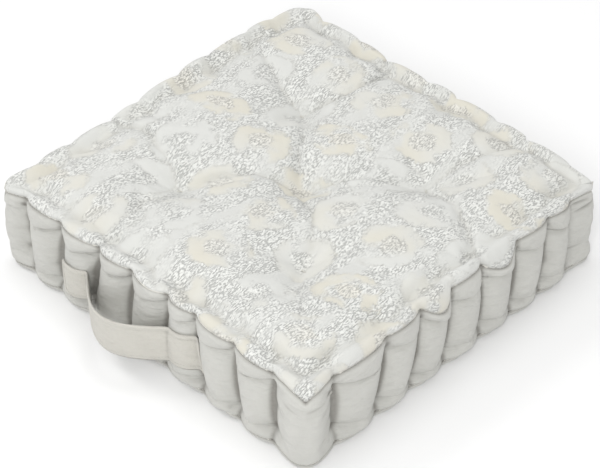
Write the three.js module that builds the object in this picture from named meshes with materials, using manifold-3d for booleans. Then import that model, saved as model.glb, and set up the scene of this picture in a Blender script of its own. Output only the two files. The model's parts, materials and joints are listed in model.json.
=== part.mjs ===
// Square boxed floor cushion: jacquard top, quilted canvas side band, tufted through in five places, one carrying strap.
// Millimetres, +Z up, underside on z = 0. The strap is on the -Y side. The origin is under the middle of the whole box.
import * as THREE from "three";
import { mergeVertices } from "three/addons/utils/BufferGeometryUtils.js";
import Module from "manifold-3d";

// ---- Driving dimensions ----
const SIDE = 450; // between the stitched hollows of opposite sides
const HEIGHT = 114; // underside to the crown
const CORNER = 24; // plan radius of the four corners
const CLOTH = 1.6; // jacquard panel
const CANVAS = 1.0; // bottom panel and side band
const GAP = 0.4; // clearance between touching pieces

const COLUMNS = 8; // stitch columns on each side
const FIRST_COLUMN = 45.8; // corner to the first stitch column
const BULGE = 9; // swell of the band between two columns
const BELLY_INSET = 4.5; // band at a stitch column, inside the nominal side
const PINCH = 10; // depth of the stitched grooves
const GROOVE_INSET = 3; // what the pinch is measured from
const CORNER_PINCH = 0.3; // share of that depth left at the corners
const LOWER_ROLL = 27; // underside to the lower stitch row
const UPPER_ROLL = 21.5; // crown to the upper stitch row

const TUFT = 92; // tufts from the centre along X and Y
const TOP_DIMPLE = { depth: 24, radius: 58 };
const BASE_DIMPLE = { depth: 16, radius: 42 };
const TIE_RADIUS = 1.2; // tufting and quilting twine
const TIE_STITCH = { length: 7, width: 2.4, lift: 4 };
const KNOT_RADIUS = 3.4;
const TWINE_DEPTH = 4; // quilting twine in front of the groove's floor
const ANCHOR_LEG = 20; // inward leg at each end of a quilting run
const THREAD = 1.2; // seam threads
const SEAM_HALF = 1.25; // half of the slot between a panel's edge and the band's edge

const STRAP = { width: 45, thickness: 2.4, bow: 32, end: 42 };
const STRAP_LIFT = 0.8; // sewn ends in front of the band's bulges
const STRAP_BULGES = [2, 5]; // bulges that the sewn ends lie on, counted from the left
const STRAP_STAGGER = 9; // right end past the middle of its bulge
const STRAP_Z = 51; // middle of the strap's width
const STRAP_TILT = 3.5; // degrees, right end higher
const STUB_REACH = 13; // how far out the fixed stub at each end goes
const STUB_STEPS = 4;
const LOOP_STEPS = 12;
const BOX_STITCH = { width: 29, height: 32, stroke: 1.0, thickness: 0.6 };

const half = SIDE / 2;
const pitch = (SIDE - 2 * FIRST_COLUMN) / (COLUMNS - 1);
const front = half - BELLY_INSET + BULGE; // outermost face of the band
const strapPlane = front + STRAP_LIFT + STRAP.thickness / 2; // middle of a sewn end's thickness
const reach = strapPlane + STRAP.bow + STRAP.thickness / 2;
const upperRow = HEIGHT - UPPER_ROLL;

const wasm = await Module();
wasm.setup();

// ---- Solid helpers ----
function toManifold(geometry) {
  const bare = geometry.index ? geometry.toNonIndexed() : geometry.clone();
  for (const name of Object.keys(bare.attributes)) if (name !== "position") bare.deleteAttribute(name);
  const merged = mergeVertices(bare, 1e-4);
  const mesh = new wasm.Mesh({
    numProp: 3,
    vertProperties: new Float32Array(merged.attributes.position.array),
    triVerts: new Uint32Array(merged.index.array),
  });
  return new wasm.Manifold(mesh);
}

function toGeometry(solid) {
  const mesh = solid.getMesh();
  const positions = new Float32Array(mesh.numVert * 3);
  for (let i = 0; i < mesh.numVert; i++) {
    const from = i * mesh.numProp;
    positions.set(mesh.vertProperties.subarray(from, from + 3), i * 3);
  }
  const geometry = new THREE.BufferGeometry();
  geometry.setAttribute("position", new THREE.BufferAttribute(positions, 3));
  geometry.setIndex(new THREE.BufferAttribute(new Uint32Array(mesh.triVerts), 1));
  geometry.computeVertexNormals();
  return geometry;
}

const joined = (geometries) =>
  toGeometry(geometries.map(toManifold).reduce((whole, piece) => whole.add(piece)));

function drilled(geometry, drills) {
  return toGeometry(drills.map(toManifold).reduce((whole, drill) => whole.subtract(drill), toManifold(geometry)));
}

function rod(radius, from, to, sides = 8) {
  const start = new THREE.Vector3(...from);
  const along = new THREE.Vector3(...to).sub(start);
  const geometry = new THREE.CylinderGeometry(radius, radius, along.length(), sides);
  geometry.translate(0, along.length() / 2, 0);
  geometry.applyQuaternion(
    new THREE.Quaternion().setFromUnitVectors(new THREE.Vector3(0, 1, 0), along.clone().normalize()),
  );
  return geometry.translate(start.x, start.y, start.z);
}

function block(size, centre) {
  return new THREE.BoxGeometry(...size).translate(...centre);
}

// ---- Plan outline: columns round the cushion, counter-clockwise from above ----
// Each side has a corner point, the end of the corner's arc, then a stitch column and a bulge in turn.
const columns = [];
for (let side = 0; side < 4; side++) {
  const add = (x, y, nx, ny, pinch, swell) => {
    const turn = (side * Math.PI) / 2;
    const [c, s] = [Math.cos(turn), Math.sin(turn)];
    columns.push({
      base: [c * x - s * y, s * x + c * y],
      normal: [c * nx - s * ny, s * nx + c * ny],
      pinch,
      swell,
    });
  };
  const arc = half - CORNER;
  add(-arc - CORNER * Math.SQRT1_2, -arc - CORNER * Math.SQRT1_2, -Math.SQRT1_2, -Math.SQRT1_2, CORNER_PINCH, 0.3);
  add(-arc, -half, 0, -1, CORNER_PINCH, 0.3);
  for (let k = 0; k < COLUMNS; k++) {
    const x = -half + FIRST_COLUMN + k * pitch;
    add(x, -half, 0, -1, 1, 0);
    if (k < COLUMNS - 1) add(x + pitch / 2, -half, 0, -1, 1, 1);
  }
  add(arc, -half, 0, -1, CORNER_PINCH, 0.3);
}

// ---- Section of the case: rows from the middle of the underside, out, up and in to the crown ----
// scale shrinks the plan outline, out moves it along its normal, pinch and swell are shares of PINCH and BULGE.
const inner = (scale, z, up) => ({ scale, out: 0, pinch: 0, swell: 0, z, up, coarse: true });
const outer = (out, z, swell = 0, pinch = 0) => ({ scale: 1, out, pinch, swell, z });
const tuftScale = TUFT / (half - CORNER * (1 - Math.SQRT1_2));
const panelScales = [0.07, 0.16, 0.27, tuftScale - 0.08, tuftScale, tuftScale + 0.08, tuftScale + 0.19, 0.78];
const bellyMiddle = (LOWER_ROLL + upperRow) / 2;
const bellyHalf = (upperRow - LOWER_ROLL) / 2;

const undersideRows = [
  { ...inner(0, 0, -1), centre: true },
  ...panelScales.map((scale) => inner(scale, 0, -1)),
  { ...outer(-22, 0), coarse: true, up: -1 },
  outer(-11, 1.2),
  outer(-5.5, 4.5, 0.3),
  outer(-4, 9, 0.4),
];
const bandRows = [
  outer(-4, 9 + 2 * SEAM_HALF, 0.45),
  outer(-4.5, 17, 0.5),
  outer(-6.5, 22, 0.4),
  outer(-GROOVE_INSET, LOWER_ROLL, 0, 1),
  outer(-BELLY_INSET - 3, LOWER_ROLL + 6, 0.5),
  outer(-BELLY_INSET - 0.7, bellyMiddle - 0.5 * bellyHalf, 0.9),
  outer(-BELLY_INSET, bellyMiddle, 1),
  outer(-BELLY_INSET - 0.7, bellyMiddle + 0.5 * bellyHalf, 0.9),
  outer(-BELLY_INSET - 3, upperRow - 6, 0.5),
  outer(-GROOVE_INSET, upperRow, 0, 1),
  outer(-2.4, HEIGHT - 12 - 2 * SEAM_HALF, 0.45),
];
const topRows = [
  outer(-1.2, HEIGHT - 12, 0.45),
  outer(-3.4, HEIGHT - 6.5, 0.4),
  outer(-9, HEIGHT - 2.5, 0.2),
  outer(-16, HEIGHT - 5),
  { ...outer(-22, HEIGHT - 9), coarse: true, up: 1 },
  ...panelScales.map((scale) => inner(scale, HEIGHT - 1 - 2 * (1 - scale), 1)).reverse(),
  { ...inner(0, HEIGHT - 3, 1), centre: true },
];
const rows = [...undersideRows, ...bandRows, ...topRows];
rows.forEach((row, i) => {
  if (row.up) {
    row.facing = [0, row.up];
    return;
  }
  const [before, after] = [rows[i - 1], rows[i + 1]];
  const dOut = half * (after.scale - before.scale) + after.out - before.out - PINCH * (after.pinch - before.pinch) / 2;
  const dZ = after.z - before.z;
  const length = Math.hypot(dOut, dZ);
  row.facing = [dZ / length, -dOut / length];
});

const tufts = {
  centre: [0, 0],
  front_left: [-TUFT, -TUFT],
  front_right: [TUFT, -TUFT],
  back_right: [TUFT, TUFT],
  back_left: [-TUFT, TUFT],
};

function dimple({ depth, radius }, x, y) {
  let sunk = 0;
  for (const [tx, ty] of Object.values(tufts)) {
    const share = 1 - ((x - tx) ** 2 + (y - ty) ** 2) / radius ** 2;
    if (share > 0) sunk = Math.max(sunk, depth * share * share);
  }
  return sunk;
}

// The points of one row, moved inwards by a depth under the outer face.
function ring(row, depth) {
  if (row.centre) return [[0, 0, row.z - row.up * (depth + dimple(row.up > 0 ? TOP_DIMPLE : BASE_DIMPLE, 0, 0))]];
  const used = row.coarse ? columns.filter((_, i) => i % 2 === 0) : columns;
  return used.map(({ base, normal, pinch, swell }) => {
    const out = row.out - row.pinch * pinch * PINCH + row.swell * swell * BULGE - depth * row.facing[0];
    const x = base[0] * row.scale + normal[0] * out;
    const y = base[1] * row.scale + normal[1] * out;
    const sunk = row.up ? row.up * dimple(row.up > 0 ? TOP_DIMPLE : BASE_DIMPLE, x, y) : 0;
    return [x, y, row.z - depth * row.facing[1] - sunk];
  });
}

// Triangles between two rings, seen from outside with the first ring below the second.
function strip(lower, upper) {
  const [n, m] = [lower.length, upper.length];
  const faces = [];
  const count = Math.min(n, m) === 1 ? Math.max(n, m) : Math.min(n, m);
  for (let k = 0; k < count; k++) {
    const a = (i) => lower[(k * (n === 2 * m ? 2 : 1) + i) % n];
    const b = (i) => upper[(k * (m === 2 * n ? 2 : 1) + i) % m];
    if (m === 1) faces.push([a(0), a(1), upper[0]]);
    else if (n === 1) faces.push([lower[0], b(1), b(0)]);
    else if (n === m) faces.push([a(0), a(1), b(1)], [a(0), b(1), b(0)]);
    else if (n === 2 * m) faces.push([a(0), a(1), b(0)], [a(1), b(1), b(0)], [a(1), a(2), b(1)]);
    else faces.push([a(0), b(1), b(0)], [a(0), a(1), b(1)], [a(1), b(2), b(1)]);
  }
  return faces;
}

const skin = (rings) => rings.slice(1).flatMap((next, i) => strip(rings[i], next));

function fromFaces(faces) {
  const geometry = new THREE.BufferGeometry();
  geometry.setAttribute("position", new THREE.Float32BufferAttribute(faces.flat(2), 3));
  const merged = mergeVertices(geometry, 1e-4);
  merged.computeVertexNormals();
  return merged;
}

// A sheet of cloth over some rows: its outer face, its inner face and a rim at each open edge.
function sheet(sheetRows, thickness) {
  const [outside, inside] = [0, thickness].map((depth) => sheetRows.map((row) => ring(row, depth)));
  const faces = [...skin(outside), ...skin(inside).map((face) => face.toReversed())];
  if (!sheetRows[0].centre) faces.push(...strip(inside[0], outside[0]));
  if (!sheetRows.at(-1).centre) faces.push(...strip(outside.at(-1), inside.at(-1)));
  return fromFaces(faces);
}

// A thread that lies in the slot between two rows.
function seamThread(below, above) {
  const middle = (key) => (below[key] + above[key]) / 2;
  const row = { scale: 1, pinch: 0, facing: [1, 0], swell: middle("swell"), out: middle("out") };
  const at = (depth, dz) => ring({ ...row, z: middle("z") + dz }, depth);
  const top = THREE.MathUtils.clamp(THREAD / 2, 0, SEAM_HALF - GAP);
  const section = [at(THREAD / 2, -top), at(0, 0), at(THREAD / 2, top), at(THREAD, 0)];
  return fromFaces(skin([...section, section[0]]));
}

// ---- The case and what holds it ----
const drillLine = (x, y) => rod(TIE_RADIUS + GAP, [x, y, -10], [x, y, HEIGHT + 10]);
const tieDrills = Object.values(tufts).map(([x, y]) => drillLine(x, y));

function tuftTie(x, y) {
  const top = dimpled(TOP_DIMPLE, x, y);
  const base = dimpled(BASE_DIMPLE, x, y);
  const stitchZ = top + TIE_STITCH.lift;
  const knot = new THREE.SphereGeometry(KNOT_RADIUS, 8, 6);
  knot.rotateX(Math.PI / 2);
  knot.translate(x, y, base - KNOT_RADIUS - 2 * GAP);
  return joined([
    rod(TIE_RADIUS, [x, y, base - KNOT_RADIUS], [x, y, stitchZ]),
    block([TIE_STITCH.length, TIE_STITCH.width, TIE_STITCH.width], [x, y, stitchZ]),
    knot,
  ]);
}

// Height of the panel's outer face at a tuft.
function dimpled(kind, x, y) {
  const isTop = kind === TOP_DIMPLE;
  const scale = x || y ? tuftScale : 0;
  const plain = isTop ? (scale ? HEIGHT - 1 - 2 * (1 - scale) : HEIGHT - 3) : 0;
  return isTop ? plain - kind.depth : kind.depth;
}

const grooveOut = half - GROOVE_INSET - PINCH; // floor of both grooves from the centre plane
const runHalf = half - FIRST_COLUMN; // first and last columns from the middle of a side
const sides = ["front", "right", "back", "left"];
const rowHeights = { upper: upperRow, lower: LOWER_ROLL };

function sideRun(z, side) {
  const y = -(grooveOut + TWINE_DEPTH);
  const leg = (x) => rod(TIE_RADIUS, [x, y, z], [x, y + ANCHOR_LEG, z]);
  const run = joined([rod(TIE_RADIUS, [-runHalf - 1, y, z], [runHalf + 1, y, z]), leg(-runHalf), leg(runHalf)]);
  return run.rotateZ((side * Math.PI) / 2);
}

const legDrills = sides.flatMap((_, side) =>
  Object.values(rowHeights).flatMap((z) =>
    [-runHalf, runHalf].map((x) =>
      rod(TIE_RADIUS + GAP, [x, -half - 10, z], [x, -grooveOut - TWINE_DEPTH + ANCHOR_LEG + 1, z]).rotateZ(
        (side * Math.PI) / 2,
      ),
    ),
  ),
);

// ---- The carrying strap, in its own frame: X along the chord, -Y outwards, Z across the width ----
const bulgeMiddle = (count) => FIRST_COLUMN - half + (count - 0.5) * pitch;
const strapLeft = bulgeMiddle(STRAP_BULGES[0]);
const strapRight = bulgeMiddle(STRAP_BULGES[1]) + STRAP_STAGGER;
const strapMiddle = (strapLeft + strapRight) / 2;
const endHalf = STRAP.end / 2;
const chordHalf = (strapRight - strapLeft) / 2 - endHalf; // free length between the sewn ends, halved
const bowAt = (x) => (Math.abs(x) < chordHalf ? STRAP.bow * Math.cos((Math.PI * x) / (2 * chordHalf)) : 0);
const stubEnd = (2 * chordHalf / Math.PI) * Math.acos(STUB_REACH / STRAP.bow);

const evenly = (from, to, steps) => Array.from({ length: steps + 1 }, (_, i) => from + ((to - from) * i) / steps);

// The strap between two places along its chord, its thickness square to the bow and its cut ends square to the chord.
function ribbon(xs) {
  const slope = (x) => bowAt(x + 0.5) - bowAt(x - 0.5);
  const edge = (x, sign) => {
    const stretch = Math.hypot(1, slope(x));
    return new THREE.Vector2(x, -bowAt(x) - (sign * STRAP.thickness * stretch) / 2);
  };
  const outline = [...xs.map((x) => edge(x, 1)), ...xs.toReversed().map((x) => edge(x, -1))];
  const geometry = new THREE.ExtrudeGeometry(new THREE.Shape(outline), { depth: STRAP.width, bevelEnabled: false });
  return geometry.translate(0, 0, -STRAP.width / 2);
}

// A sewn end lies flat, and its stub follows the bow outwards as far as the hinge leaves it fixed.
function strapEnd(sign) {
  const tip = stubEnd + GAP / 2;
  const xs = [chordHalf + STRAP.end, ...evenly(chordHalf, tip, STUB_STEPS)].map((x) => sign * x);
  return ribbon(xs.sort((a, b) => a - b));
}

function boxStitch(centre) {
  const { width, height, stroke, thickness } = BOX_STITCH;
  const y = -(STRAP.thickness / 2 + GAP + thickness / 2);
  const bar = (length, x, z, angle) =>
    block([length, thickness, stroke], [0, 0, 0]).rotateY(angle).translate(centre + x, y, z);
  const slant = Math.atan2(height, width);
  return joined([
    bar(width + stroke, 0, height / 2, 0),
    bar(width + stroke, 0, -height / 2, 0),
    bar(height + stroke, -width / 2, 0, Math.PI / 2),
    bar(height + stroke, width / 2, 0, Math.PI / 2),
    bar(Math.hypot(width, height), 0, 0, slant),
    bar(Math.hypot(width, height), 0, 0, -slant),
  ]);
}

// ---- Materials ----
const material = (color, roughness) => new THREE.MeshStandardMaterial({ color, roughness, metalness: 0 });
const looks = {
  jacquard: () => material(0xeeeae0, 0.9),
  canvas: () => material(0xe4e2dc, 0.92),
  wadding: () => material(0xf2f0ea, 1.0),
  twine: () => material(0xe8e3d6, 0.85),
  thread: () => material(0xe9e6dd, 0.8),
};

// ---- Assembly ----
const cushion = new THREE.Group();
cushion.name = "floor_cushion";
const body = new THREE.Group();
body.position.y = (reach - front) / 2; // the strap reaches past the front, so the box's middle lies ahead of the case's
cushion.add(body);

function place(parent, name, geometry, look) {
  const mesh = new THREE.Mesh(geometry, looks[look]());
  mesh.name = name;
  parent.add(mesh);
}

const skinDepth = CLOTH + GAP;
place(body, "top_panel", drilled(sheet(topRows, CLOTH), tieDrills), "jacquard");
place(body, "side_band", drilled(sheet(bandRows, CANVAS), legDrills), "canvas");
place(body, "bottom_panel", drilled(sheet(undersideRows, CANVAS), tieDrills), "canvas");
const fillingRings = rows.map((row) => ring(row, skinDepth));
place(body, "filling", drilled(fromFaces(skin(fillingRings)), [...tieDrills, ...legDrills]), "wadding");
for (const [name, [x, y]] of Object.entries(tufts)) place(body, `tuft_tie_${name}`, tuftTie(x, y), "twine");
sides.forEach((side, i) => {
  for (const [level, z] of Object.entries(rowHeights)) {
    place(body, `side_twine_${side}_${level}`, sideRun(z, i), "twine");
  }
});
place(body, "top_seam_thread", seamThread(bandRows.at(-1), topRows[0]), "thread");
place(body, "bottom_seam_thread", seamThread(undersideRows.at(-1), bandRows[0]), "thread");

const strap = new THREE.Group();
strap.position.set(strapMiddle, -strapPlane, STRAP_Z);
strap.rotation.y = -THREE.MathUtils.degToRad(STRAP_TILT);
body.add(strap);
place(strap, "strap_end_left", strapEnd(-1), "canvas");
place(strap, "strap_end_right", strapEnd(1), "canvas");
place(strap, "strap_loop", ribbon(evenly(-stubEnd + GAP / 2, stubEnd - GAP / 2, LOOP_STEPS)), "canvas");
place(strap, "strap_stitch_left", boxStitch(-chordHalf - endHalf), "thread");
place(strap, "strap_stitch_right", boxStitch(chordHalf + endHalf), "thread");

export default cushion;
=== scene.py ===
"""Builds the looks of a boxed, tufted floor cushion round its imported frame."""

import json
import math

import bmesh
import bpy
import numpy as np
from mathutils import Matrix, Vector
from mathutils.bvhtree import BVHTree
from mathutils.kdtree import KDTree

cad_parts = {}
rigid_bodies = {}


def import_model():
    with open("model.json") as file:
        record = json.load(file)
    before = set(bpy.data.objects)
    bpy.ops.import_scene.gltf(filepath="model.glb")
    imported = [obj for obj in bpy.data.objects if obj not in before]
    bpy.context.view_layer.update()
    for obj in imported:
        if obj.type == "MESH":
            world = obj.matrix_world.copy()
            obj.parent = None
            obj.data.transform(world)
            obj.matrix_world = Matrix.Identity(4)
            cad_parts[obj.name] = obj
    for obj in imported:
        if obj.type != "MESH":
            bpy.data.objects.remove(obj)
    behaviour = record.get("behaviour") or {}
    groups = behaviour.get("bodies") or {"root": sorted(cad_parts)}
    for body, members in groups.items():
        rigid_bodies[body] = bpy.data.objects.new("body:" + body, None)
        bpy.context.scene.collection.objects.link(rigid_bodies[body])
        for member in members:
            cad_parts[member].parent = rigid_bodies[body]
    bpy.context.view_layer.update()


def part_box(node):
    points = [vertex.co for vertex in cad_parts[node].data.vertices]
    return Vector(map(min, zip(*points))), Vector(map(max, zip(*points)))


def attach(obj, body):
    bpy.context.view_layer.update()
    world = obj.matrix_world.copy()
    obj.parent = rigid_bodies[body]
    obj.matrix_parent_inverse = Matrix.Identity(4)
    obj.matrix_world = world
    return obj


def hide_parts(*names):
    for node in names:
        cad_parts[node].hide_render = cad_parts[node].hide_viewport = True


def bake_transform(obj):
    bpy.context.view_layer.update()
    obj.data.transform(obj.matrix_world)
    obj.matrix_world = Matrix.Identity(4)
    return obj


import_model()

bl_info = {
    "name": "Floor cushion",
    "version": (1, 0, 0),
    "blender": (4, 5, 0),
    "location": "View3D > Sidebar > Cushion",
    "description": "Makes a boxed, tufted floor cushion with a carrying strap",
    "category": "Object",
}

MM = 0.001


# ---- What the frame fixes, in millimetres ----
def frame_box(node):
    low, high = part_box(node)
    return np.array(low) / MM, np.array(high) / MM


BAND_LOW, BAND_HIGH = frame_box("side_band")
CENTRE_Y = (BAND_LOW[1] + BAND_HIGH[1]) / 2  # the middle of the case lies behind the frame's origin
BAND_STANDS = 4.5  # how far the frame's band stands off the plain side
HALF = (BAND_HIGH[0] - BAND_LOW[0]) / 2 - BAND_STANDS  # middle of the case to its plain side
CROWN = frame_box("top_panel")[1][2]
TUFT = np.mean([corner[0] for corner in frame_box("tuft_tie_front_right")])
TUFTS = ((0, 0), (-TUFT, -TUFT), (TUFT, -TUFT), (TUFT, TUFT), (-TUFT, TUFT))
TUFT_FOLDS = (7, 6, 5, 6, 7)  # creases that run out of each tuft
TUFT_NODES = ("centre", "front_left", "front_right", "back_right", "back_left")
SIDES = ("front", "right", "back", "left")
LEFT_TAB, RIGHT_TAB = frame_box("strap_end_left"), frame_box("strap_end_right")

# ---- The case, in millimetres ----
CORNER = 19  # plan radius of the corners
BULGE_CELLS = 10  # grid cells between two stitch columns, and from a corner to its nearest column
COLUMNS = 8
CELLS = BULGE_CELLS * (COLUMNS + 1)  # grid cells along one side
ROUND = 4 * CELLS
ROW_CELLS = {"roll": 3, "welt": 5, "belly": 15, "lower_roll": 5, "hem": 3}
UPPER_SEAM = ROW_CELLS["roll"]  # ring where the top is sewn to the band
UPPER_ROW = UPPER_SEAM + ROW_CELLS["welt"]  # ring that holds the upper stitches
LOWER_ROW = UPPER_ROW + ROW_CELLS["belly"]
LOWER_SEAM = LOWER_ROW + ROW_CELLS["lower_roll"]
LAST_RING = LOWER_SEAM + ROW_CELLS["hem"]
ROLL_INSET = 9  # crest of both edge rolls from the plain side
GROOVE_AT = 22  # hollow behind each edge roll from the plain side
ROLL_FALL = 10  # how fast the top's roll falls towards its groove
GROOVE_WIDTH = 8
GROOVE, BASE_GROOVE, GROOVE_LIFT = 10, 4, 4  # depths of the grooves, and how far a bulge fills them
TIE_DEPTH, TIE_REACH, TIE_BLUNT = 17, 36, 8  # tufts below the crown, their spread and their roundness
BASE_TIE_DEPTH, BASE_TIE_REACH, BASE_TIE_BLUNT = 16, 16, 3
BASE_FLAT = 0.6  # what of the base's shape lies on the ground
CREASE_WIDTH = 7
# Creases between places on the top: both ends, depth and sideways bend.
TUFT_CREASES = (
    ((-TUFT, -TUFT), (0, 0), 3.5, 12),
    ((0, 0), (TUFT, TUFT), 3.5, -14),
    ((-TUFT, TUFT), (0, 0), 1, 12),
    ((TUFT, -TUFT), (0, 0), 1, -10),
    ((-TUFT, TUFT), (-HALF + 25, TUFT + 40), 5, 6),
    ((-TUFT, TUFT), (-TUFT + 30, HALF - 25), 5, -6),
    ((-TUFT, -TUFT), (-HALF + 25, -TUFT + 30), 4, -6),
    ((TUFT, TUFT), (TUFT + 30, HALF - 30), 4, 6),
    ((TUFT, TUFT), (HALF - 20, 40), 5, 8),
)
EVEN_COLUMNS = np.linspace(-179.2, 179.2, COLUMNS)
# How far each stitch wandered along its side, and how high it sits: front, right, back and left side.
UPPER_DRIFT = (
    (-10, -5, 3, 1, 4, -8, -5, -4),
    (0, 20, 18, 12, 9, 11, 8, -5),
    (-3, 6, -4, 2, -7, 5, -2, 4),
    (4, -6, 3, -2, 6, -4, 5, -3),
)
LOWER_DRIFT = (
    (-6, -13, -15, -8, -3, 1, 2, -3),
    (0, 6, 5, 4, 8, 6, 1, -4),
    (2, -4, 5, -3, 4, -5, 3, 1),
    (-3, 4, -2, 5, -5, 3, -4, 2),
)
UPPER_HEIGHT = (
    (88, 90, 95, 91, 94, 92, 90, 88),
    (85, 81, 88, 79, 86, 85, 86, 87),
    (90, 88, 92, 90, 87, 91, 93, 89),
    (89, 92, 88, 91, 90, 87, 92, 90),
)
LOWER_HEIGHT = (
    (25, 20, 18, 20, 20, 21, 22, 26),
    (28, 23, 20, 22, 25, 22, 22, 25),
    (25, 22, 24, 21, 25, 23, 22, 26),
    (26, 23, 21, 25, 22, 24, 23, 25),
)
UPPER_CORNER, LOWER_CORNER = 87, 24  # where the folds under and over the rolls meet the corners
DEEP_END = (1, 0, 1, 0)  # end of each bulge where the fold under the roll is deepest
BULGE_SQUARE, BULGE_FULL = 2.1, 0.72  # exponents of a bulge: flatter in its middle, steeper at its sides
FADE_FROM = 0.35  # nearness to the deep end under which a fold's slide dies out
WRINKLE_SLANT, WRINKLE_WIDTH, WRINKLE_LENGTH = 5, 2.6, 0.7
VALLEY = 11  # how far a stitch column lies behind the plain side
BULGE = 15.5  # how far the bulges stand off their columns
PAD_BULGE = (15.5, 16.5, 8, 16.5)  # the same for the corner pads, by the side that starts at each corner
UPPER_FOLD, LOWER_FOLD = 9.5, 7  # depth of the folds at their stitches
UPPER_FADE, LOWER_FADE = 1.2, 1.5  # exponents of how they grow shallow away from them
FOLD_SLIDE, BASE_FOLD_SLIDE = 13, 4  # how far each fold slants down before it fades
HEM_HEIGHT = 8
CREST_DROP, CREST_SWELL, CREST_PUFF = 3.0, 1.6, 0.75  # crest below the crown, raised by bulges and puffs
SEAM_AT, SEAM_RISE, SEAM_END = 0.34, 0.12, 0.5  # seam down the roll, higher at bulges and lower at corners
ROLL_VALLEY, ROLL_BULGE, FOOT_SHARE = 0.42, 0.46, 0.45  # how much of the quilting the edge rolls show
ROLLED_OUT, PUFF_OUT = 3, 0.6  # how far a rolled-over bulge stands out, and a puffed edge for its puff
BELLY_ROUND = 2.5  # how far a bulge is rounded back towards its rolls
# How far the edge of the top is puffed up at each side's corners and columns.
PUFFED = (
    (0, 0, 0, 0, 0, 0, 0, 0, 1, 3),
    (3, 1, 0, 0, 0, 0, 0, -1, -3, -6),
    (-6, -3, 0, 0, 0, 1, 3, 4, 6, 10),
    (10, 12, 12, 11, 8, 4, 2, 0, 0, 0),
)
ROLLED_OVER = ((), (3, 5), (6,), (2,))  # bulges of each side where the top is rolled down over the canvas
# Wrinkles of each side's corner pads: height, depth, and distance from the corner as a share of the pad.
PAD_WRINKLES = (
    ((76, 1.6, 0.3), (58, 0.9, 0.5), (31, 1.2, 0.2)),
    ((80, 2.0, 0.2), (66, 1.5, 0.4), (47, 1.0, 0.3), (28, 1.2, 0.5)),
    ((72, 1.4, 0.4), (40, 1.0, 0.3)),
    ((78, 1.5, 0.2), (52, 1.2, 0.4), (30, 1.0, 0.3)),
)

# ---- The filling ----
CLOTH = {
    "quality": 6,
    "mass": 0.25,
    "bending_stiffness": 0.3,
    "use_pressure": True,
    "uniform_pressure_force": 4,
    "shrink_min": -0.05,  # a negative shrinkage leaves the cloth larger than its form
    "pin_stiffness": 1,
}
FRAMES = 20
WADDING_GAP = 2.4  # the filling lies this far inside the case, in millimetres
MOST_SWELL = 11 * MM
FOLD_SHARPNESS = 0.32 * MM  # how far a vertex lies under its neighbours in a full fold
FOLD_EASINGS = 3
# How firmly the cloth is held while it fills, next to 1 at a stitch.
FOLD_HOLD = 0.6  # in a fold, where it leaves its stitch
VALLEY_HOLD = 0.7  # between two stitches, and below the lower one
GROOVE_HOLDS = (0.7, 0.5)  # behind the edge rolls of the top and of the base
TIE_RADIUS = 4  # a tie holds the cloth this far from its middle
RESTING = 0.5  # cloth lower than this rests on the ground

# ---- The strap, in millimetres ----
STRAP_WIDTH = 45
STRAP_HALF = 1.2  # half its thickness
STRAP_ROWS = 17
STRAP_COLUMNS = 260  # places across the case where the strap's way over it is read
STRAP_STEP = 1.7  # distance between two stations along the strap
STRAP_CHORD = 120.6  # span of the loop
STRAP_PLANE = -213.9  # plane that the loop stands off
STRAP_BOW = 32
STRAP_INNER = 0.42  # topstitching on the loop's inner face, to each side, as a share of the chord
TAB_OVERHANG = 1.4  # the frame's tabs end this far beyond the strap
TAB_GAP = 0.5  # between a tab and the band
JOIN = 1.2  # how softly the loop runs into its tabs
STRAP_MIDDLE = (LEFT_TAB[1][0] + RIGHT_TAB[0][0]) / 2
STRAP_Z = (LEFT_TAB[0][2] + LEFT_TAB[1][2] + RIGHT_TAB[0][2] + RIGHT_TAB[1][2]) / 4
# Slope of the line through both tabs.
STRAP_RISE = (sum(RIGHT_TAB)[2] - sum(LEFT_TAB)[2]) / (sum(RIGHT_TAB)[0] - sum(LEFT_TAB)[0])
TOPSTITCH_INSET = 4.5
SEWN_WIDTH, SEWN_DEPTH = 1.6, 0.5  # the hollow that the topstitching draws
TOPSTITCH_SINK, BOX_SINK = 0.3, 0.1  # how far the stitches lie in the strap's face
BOX_INSET = 1  # from the box's edges in the frame to its stitches
STITCH_LINE_STEP = 1.5  # longest step of a line of stitches

# ---- Thread and twine, in metres ----
THREAD_PLY, TWINE_PLY = 1.1 * MM, 1.6 * MM  # repeat of the twist
SEAM_DENSITY = 6  # points that stand for each grid cell of a seam when its hollow is drawn in
SEAM_FAR = 4  # the hollow ends this many of its widths away
SEAM_SPREAD = 1.2  # seam stitches against the strap's
BOX_THICKNESS = 1.1  # thread of the crossed boxes against the strap's other thread
STITCH_REACH = 3.2 * MM  # half of what shows of a twine stitch
STITCH_DIVE = 9 * MM
KNOT_REACH, KNOT_STEPS, KNOT_TURNS = 0.8125, 26, 2.25  # radius as a share of STITCH_REACH
KNOT_FLATTER = 0.8  # its shorter radius against the longer one
TIE_TURN = 0.03  # how far each tie is turned, for a millimetre of its place
ABOVE, BELOW, BEFORE = 0.3, -0.1, -0.4  # places clear of the case that rays start from

# ---- The cloths, in metres ----
CANVAS_WEAVE, STRAP_WEAVE, RIB_PITCH = 1.1 * MM, 1.4 * MM, 1.5 * MM
RING_PITCH, RING_ROWS, RING_RADIUS = 86 * MM, 60 * MM, 28 * MM  # figures of the top cloth

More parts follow.
